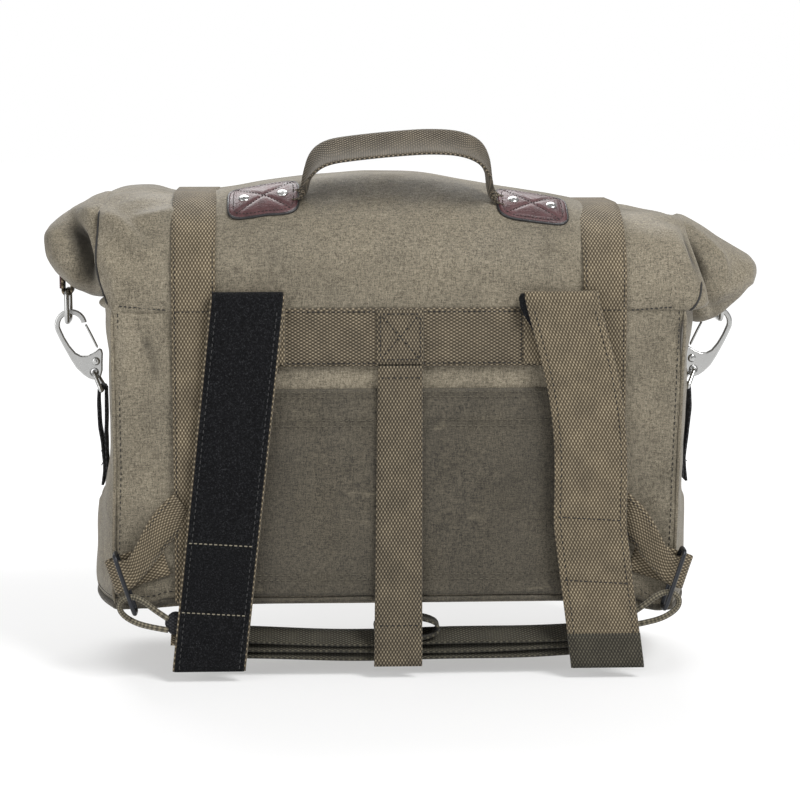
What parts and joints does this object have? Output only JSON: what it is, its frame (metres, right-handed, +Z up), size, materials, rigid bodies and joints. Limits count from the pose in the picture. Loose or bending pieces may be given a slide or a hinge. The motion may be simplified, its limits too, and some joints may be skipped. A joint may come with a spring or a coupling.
{
  "type": "saddlebag",
  "caption": "Roll-top canvas motorcycle saddlebag with folding yoke straps, tie strap, carry handle, side snap hooks and front buckles.",
  "frame": {"origin": "centre of the webbing yoke band, on the back panel's outer face", "axes": "+X along the yoke band, +Y from the back panel to the front panel, away from the motorcycle, +Z up"},
  "size_m": [0.5, 0.184, 0.3735],
  "materials": {
    "canvas": "waxed olive-brown cotton canvas",
    "lining": "black coated lining",
    "board": "matt polyethylene sheet",
    "webbing": "olive cotton webbing",
    "black_tape": "black hook-and-loop tape",
    "black_webbing": "black webbing",
    "cord": "braided olive cord with light flecks",
    "leather": "oxblood leather with black edges",
    "nickel": "polished nickel plate",
    "black_metal": "semi-gloss black",
    "slider_plastic": "black nylon"
  },
  "bodies": {
    "bag": {"back_board": "board", "back_panel": "canvas", "base_board": "board", "base_panel": "canvas", "buckle_billets": "leather", "buckle_chapes": "leather", "front_panel": "canvas", "handle_rivets": "nickel", "hook_loops": "nickel", "left_closure_strap": "webbing", "left_gusset": "canvas", "left_handle_patch": "leather", "left_roll_end": "canvas", "left_side_strap": "black_webbing", "liner": "lining", "mouth_stiffener": "board", "rear_pocket": "canvas", "right_closure_strap": "webbing", "right_gusset": "canvas", "right_handle_patch": "leather", "right_roll_end": "canvas", "right_side_strap": "black_webbing", "roll_tabs": "webbing", "rolled_mouth": "canvas", "strap_ends": "webbing", "strap_keepers": "leather", "tie_tabs": "webbing", "upper_back": "canvas", "upper_front": "canvas", "yoke_band": "webbing"},
    "left_yoke_strap": {"left_yoke_strap": "webbing", "left_loop_tape": "black_tape"},
    "right_yoke_strap": {"right_yoke_strap": "webbing", "right_hook_tape": "black_tape"},
    "centre_yoke_strap": {"centre_yoke_strap": "webbing"},
    "carry_handle": {"carry_handle": "webbing"},
    "tie_strap": {"tie_strap": "webbing", "left_cord_sleeve": "black_webbing", "right_cord_sleeve": "black_webbing", "left_tie_cord": "cord", "right_tie_cord": "cord"},
    "strap_slider": {"strap_slider": "slider_plastic"},
    "left_tie_ring": {"left_tie_ring": "black_metal"},
    "left_roll_ring": {"left_roll_ring": "nickel"},
    "left_snap_hook": {"left_snap_hook": "nickel"},
    "left_hook_gate": {"left_hook_gate": "nickel"},
    "left_buckle_frame": {"left_buckle_frame": "nickel"},
    "left_buckle_prong": {"left_buckle_prong": "nickel"},
    "right_tie_ring": {"right_tie_ring": "black_metal"},
    "right_roll_ring": {"right_roll_ring": "nickel"},
    "right_snap_hook": {"right_snap_hook": "nickel"},
    "right_hook_gate": {"right_hook_gate": "nickel"},
    "right_buckle_frame": {"right_buckle_frame": "nickel"},
    "right_buckle_prong": {"right_buckle_prong": "nickel"}
  },
  "joints": [
    {"name": "left_yoke_strap_turn", "type": "hinge", "parent": "bag", "child": "left_yoke_strap", "pos_m": [-0.102, -0.0069, 0.027], "axis": [-1, 0, 0], "range_deg": [0, 170]},
    {"name": "right_yoke_strap_turn", "type": "hinge", "parent": "bag", "child": "right_yoke_strap", "pos_m": [0.111, -0.0069, 0.027], "axis": [-1, 0, 0], "range_deg": [0, 170]},
    {"name": "centre_yoke_strap_turn", "type": "hinge", "parent": "bag", "child": "centre_yoke_strap", "pos_m": [0, -0.0042, -0.02], "axis": [-1, 0, 0], "range_deg": [0, 165]},
    {"name": "handle_tilt", "type": "hinge", "parent": "bag", "child": "carry_handle", "pos_m": [0, 0.03, 0.09489], "axis": [1, 0, 0], "range_deg": [-40, 40], "stiffness_Nm_per_rad": 0.1},
    {"name": "left_tie_ring_turn", "type": "hinge", "parent": "bag", "child": "left_tie_ring", "pos_m": [-0.187, -0.00395, -0.166], "axis": [0.309, 0, -0.9511], "range_deg": [-6, 0]},
    {"name": "right_tie_ring_turn", "type": "hinge", "parent": "bag", "child": "right_tie_ring", "pos_m": [0.187, -0.00395, -0.166], "axis": [0.309, 0, 0.9511], "range_deg": [-6, 0]},
    {"name": "tie_strap_swing", "type": "hinge", "parent": "bag", "child": "tie_strap", "pos_m": [0, -0.01225, -0.18645], "axis": [1, 0, 0], "range_deg": [0, 10]},
    {"name": "slider_slide", "type": "slide", "parent": "tie_strap", "child": "strap_slider", "axis": [1, 0, 0], "range_m": [-0.009, 0.009]},
    {"name": "left_roll_ring_swing", "type": "hinge", "parent": "bag", "child": "left_roll_ring", "pos_m": [-0.2301, 0.075, 0.02623], "axis": [0, -1, 0], "range_deg": [-3, 3]},
    {"name": "left_hook_swing", "type": "hinge", "parent": "bag", "child": "left_snap_hook", "pos_m": [-0.21268, 0.075, -0.03211], "axis": [0, -1, 0], "range_deg": [-3, 0]},
    {"name": "left_gate_open", "type": "hinge", "parent": "left_snap_hook", "child": "left_hook_gate", "pos_m": [-0.21073, 0.075, -0.01421], "axis": [0, -1, 0], "range_deg": [0, 22], "stiffness_Nm_per_rad": 0.02, "springref_deg": -8.59},
    {"name": "left_buckle_lift", "type": "hinge", "parent": "bag", "child": "left_buckle_frame", "pos_m": [-0.139, 0.1564, -0.004], "axis": [1, 0, 0], "range_deg": [0, 35]},
    {"name": "left_prong_lift", "type": "hinge", "parent": "left_buckle_frame", "child": "left_buckle_prong", "pos_m": [-0.139, 0.1564, -0.004], "axis": [1, 0, 0], "range_deg": [0, 40]},
    {"name": "right_roll_ring_swing", "type": "hinge", "parent": "bag", "child": "right_roll_ring", "pos_m": [0.2301, 0.075, 0.02623], "axis": [0, 1, 0], "range_deg": [-3, 3]},
    {"name": "right_hook_swing", "type": "hinge", "parent": "bag", "child": "right_snap_hook", "pos_m": [0.21268, 0.075, -0.03211], "axis": [0, 1, 0], "range_deg": [-3, 0]},
    {"name": "right_gate_open", "type": "hinge", "parent": "right_snap_hook", "child": "right_hook_gate", "pos_m": [0.21073, 0.075, -0.01421], "axis": [0, 1, 0], "range_deg": [0, 22], "stiffness_Nm_per_rad": 0.02, "springref_deg": -8.59},
    {"name": "right_buckle_lift", "type": "hinge", "parent": "bag", "child": "right_buckle_frame", "pos_m": [0.139, 0.1564, -0.004], "axis": [1, 0, 0], "range_deg": [0, 35]},
    {"name": "right_prong_lift", "type": "hinge", "parent": "right_buckle_frame", "child": "right_buckle_prong", "pos_m": [0.139, 0.1564, -0.004], "axis": [1, 0, 0], "range_deg": [0, 40]}
  ]
}
